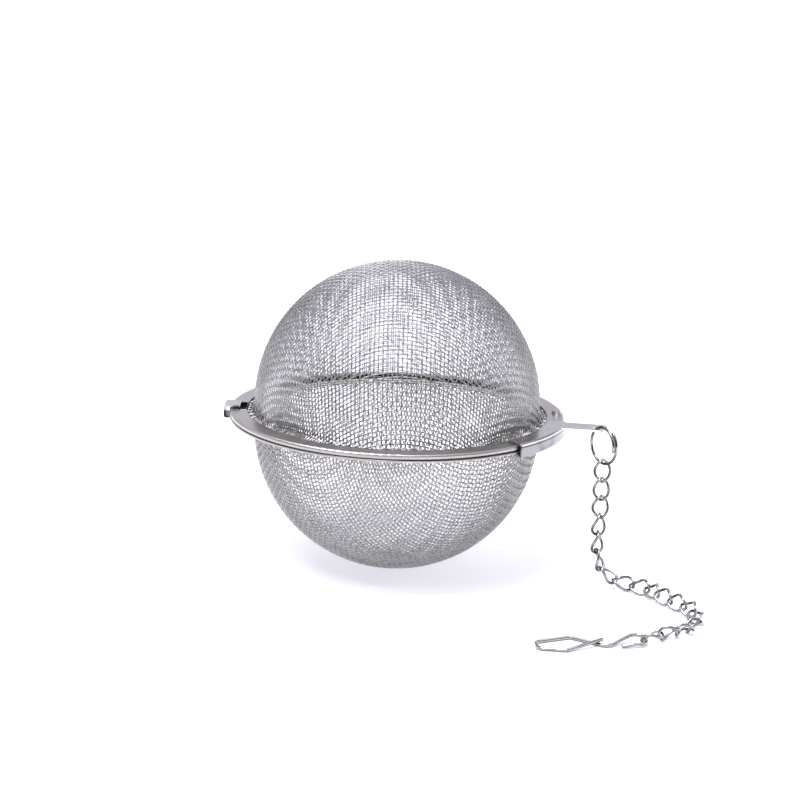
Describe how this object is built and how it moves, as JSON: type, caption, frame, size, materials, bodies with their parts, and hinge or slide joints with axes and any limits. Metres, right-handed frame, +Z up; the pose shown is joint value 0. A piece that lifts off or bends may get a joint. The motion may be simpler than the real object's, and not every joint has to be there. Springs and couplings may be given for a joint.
{
  "type": "mesh ball tea infuser",
  "caption": "Mesh ball tea infuser in two hinged halves with flat steel rims, a side latch, a curb chain and a bent wire cup hook.",
  "frame": {"origin": "centre of the small flat the lower bowl stands on, in the plane of the table", "axes": "+Z up through the ball's axis; hinge at -X; latch and chain at +X; front of the ball faces -Y"},
  "size_m": [0.0966, 0.0854, 0.0646],
  "materials": {
    "sheet_steel": "polished stainless sheet",
    "woven_mesh": "woven stainless wire, satin",
    "chain_steel": "polished stainless wire",
    "wire_steel": "polished stainless wire"
  },
  "bodies": {
    "lower_half": {"lower_rim": "sheet_steel", "lower_mesh": "woven_mesh", "latch_clip": "sheet_steel"},
    "hinge_link": {"hinge_link": "sheet_steel"},
    "upper_half": {"upper_rim": "sheet_steel", "upper_mesh": "woven_mesh"},
    "jump_ring": {"jump_ring": "wire_steel"},
    "link_01": {"chain_link_01": "chain_steel"},
    "link_02": {"chain_link_02": "chain_steel"},
    "link_03": {"chain_link_03": "chain_steel"},
    "link_04": {"chain_link_04": "chain_steel"},
    "link_05": {"chain_link_05": "chain_steel"},
    "link_06": {"chain_link_06": "chain_steel"},
    "link_07": {"chain_link_07": "chain_steel"},
    "link_08": {"chain_link_08": "chain_steel"},
    "link_09": {"chain_link_09": "chain_steel"},
    "link_10": {"chain_link_10": "chain_steel"},
    "link_11": {"chain_link_11": "chain_steel"},
    "link_12": {"chain_link_12": "chain_steel"},
    "link_13": {"chain_link_13": "chain_steel"},
    "link_14": {"chain_link_14": "chain_steel"},
    "link_15": {"chain_link_15": "chain_steel"},
    "link_16": {"chain_link_16": "chain_steel"},
    "link_17": {"chain_link_17": "chain_steel"},
    "link_18": {"chain_link_18": "chain_steel"},
    "hook": {"cup_hook": "wire_steel"}
  },
  "joints": [
    {"name": "ball_twist", "type": "hinge", "parent": "lower_half", "child": "hinge_link", "pos_m": [-0.03447, 0, 0.0321], "axis": [0, 0, 1], "range_deg": [0, 17]},
    {"name": "ball_open", "type": "hinge", "parent": "hinge_link", "child": "upper_half", "pos_m": [-0.03447, 0, 0.03268], "axis": [0, -1, 0], "range_deg": [0, 165]},
    {"name": "ring_swing", "type": "hinge", "parent": "lower_half", "child": "jump_ring", "pos_m": [0.04023, -0.0132, 0.03335], "axis": [0.5, -0.866, 0], "range_deg": [-20, 20]},
    {"name": "chain_swing_01", "type": "hinge", "parent": "jump_ring", "child": "link_01", "pos_m": [0.04164, -0.01504, 0.02711], "axis": [0.9962, -0.0872, 0], "range_deg": [-22, 22]},
    {"name": "chain_swing_02", "type": "hinge", "parent": "link_01", "child": "link_02", "pos_m": [0.04164, -0.01503, 0.02327], "axis": [-0.9962, -0.0872, 0], "range_deg": [-22, 22]},
    {"name": "chain_swing_03", "type": "hinge", "parent": "link_02", "child": "link_03", "pos_m": [0.04166, -0.01526, 0.01944], "axis": [0.9994, -0.0349, 0], "range_deg": [-22, 22]},
    {"name": "chain_swing_04", "type": "hinge", "parent": "link_03", "child": "link_04", "pos_m": [0.04167, -0.01504, 0.0156], "axis": [-0.7935, -0.6086, -0.0081], "range_deg": [-11, 11]},
    {"name": "chain_swing_05", "type": "hinge", "parent": "link_04", "child": "link_05", "pos_m": [0.04157, -0.01486, 0.01177], "axis": [0.6198, 0.7848, 0.0001], "range_deg": [-22, 22]},
    {"name": "chain_swing_06", "type": "hinge", "parent": "link_05", "child": "link_06", "pos_m": [0.04151, -0.01485, 0.00792], "axis": [-0.2826, -0.9592, -0.0112], "range_deg": [-22, 15]},
    {"name": "chain_swing_07", "type": "hinge", "parent": "link_06", "child": "link_07", "pos_m": [0.0424, -0.01508, 0.00417], "axis": [0.3097, 0.929, 0.2027], "range_deg": [-18, 22]},
    {"name": "chain_swing_08", "type": "hinge", "parent": "link_07", "child": "link_08", "pos_m": [0.04546, -0.01554, 0.00183], "axis": [-0.3819, -0.7763, -0.5015], "range_deg": [-22, 14]},
    {"name": "chain_swing_09", "type": "hinge", "parent": "link_08", "child": "link_09", "pos_m": [0.04904, -0.01693, 0.00137], "axis": [0, 0, 1], "range_deg": [-11, 22]},
    {"name": "chain_swing_10", "type": "hinge", "parent": "link_09", "child": "link_10", "pos_m": [0.05193, -0.01946, 0.00173], "axis": [0, 0, -1], "range_deg": [-22, 12]},
    {"name": "chain_swing_11", "type": "hinge", "parent": "link_10", "child": "link_11", "pos_m": [0.05319, -0.02308, 0.00213], "axis": [0, 0, 1], "range_deg": [-22, 22]},
    {"name": "chain_swing_12", "type": "hinge", "parent": "link_11", "child": "link_12", "pos_m": [0.05519, -0.02635, 0.00187], "axis": [0, 0, -1], "range_deg": [-22, 22]},
    {"name": "chain_swing_13", "type": "hinge", "parent": "link_12", "child": "link_13", "pos_m": [0.0575, -0.02942, 0.00211], "axis": [0, 0, 1], "range_deg": [-15, 22]},
    {"name": "chain_swing_14", "type": "hinge", "parent": "link_13", "child": "link_14", "pos_m": [0.0588, -0.03304, 0.00198], "axis": [0, 0, -1], "range_deg": [-22, 14]},
    {"name": "chain_swing_15", "type": "hinge", "parent": "link_14", "child": "link_15", "pos_m": [0.05872, -0.03689, 0.0017], "axis": [0, 0, 1], "range_deg": [-12, 22]},
    {"name": "chain_swing_16", "type": "hinge", "parent": "link_15", "child": "link_16", "pos_m": [0.05655, -0.04002, 0.00108], "axis": [0, 0, -1], "range_deg": [-20, 10]},
    {"name": "chain_swing_17", "type": "hinge", "parent": "link_16", "child": "link_17", "pos_m": [0.05369, -0.04248, 0.00191], "axis": [0, 0, 1], "range_deg": [-14, 22]},
    {"name": "chain_swing_18", "type": "hinge", "parent": "link_17", "child": "link_18", "pos_m": [0.05013, -0.04391, 0.0016], "axis": [0, 0, -1], "range_deg": [-17, 20]},
    {"name": "hook_swing", "type": "hinge", "parent": "link_18", "child": "hook", "pos_m": [0.04667, -0.04542, 0.0011], "axis": [0, 0, 1], "range_deg": [-12, 10]}
  ]
}
